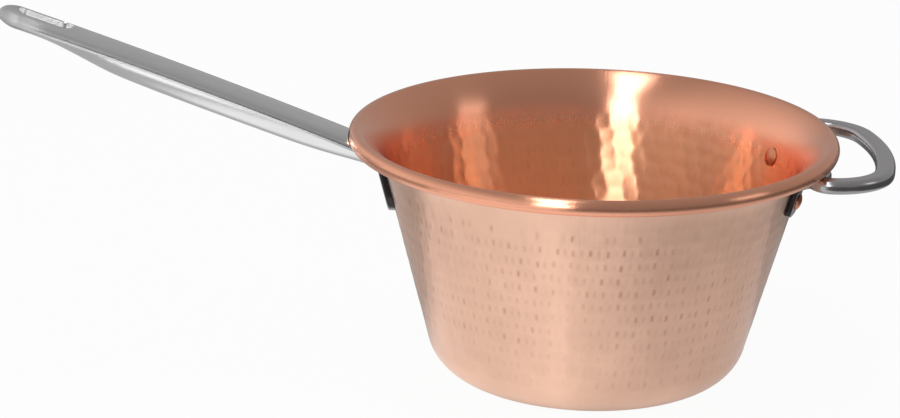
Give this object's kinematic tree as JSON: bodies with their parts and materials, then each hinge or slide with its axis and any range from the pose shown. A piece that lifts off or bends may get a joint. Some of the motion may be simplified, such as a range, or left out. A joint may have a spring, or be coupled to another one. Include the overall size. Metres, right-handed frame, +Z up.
{
  "type": "copper pan",
  "caption": "Hammered copper pan with a rolled rim, a long hollow steel handle with a hanging slot and a steel loop handle opposite it.",
  "frame": {"origin": "middle of the flat base, on the surface that the pan stands on", "axes": "+Z up, long handle towards -X, loop handle towards +X"},
  "size_m": [0.4883, 0.2684, 0.2026],
  "materials": {
    "copper": "satin",
    "steel": "satin"
  },
  "bodies": {
    "root": {"pan_body": "copper", "long_handle": "steel", "long_handle_flange": "steel", "long_handle_rivets": "copper", "loop_handle": "steel", "loop_handle_rivets": "copper"}
  },
  "joints": []
}
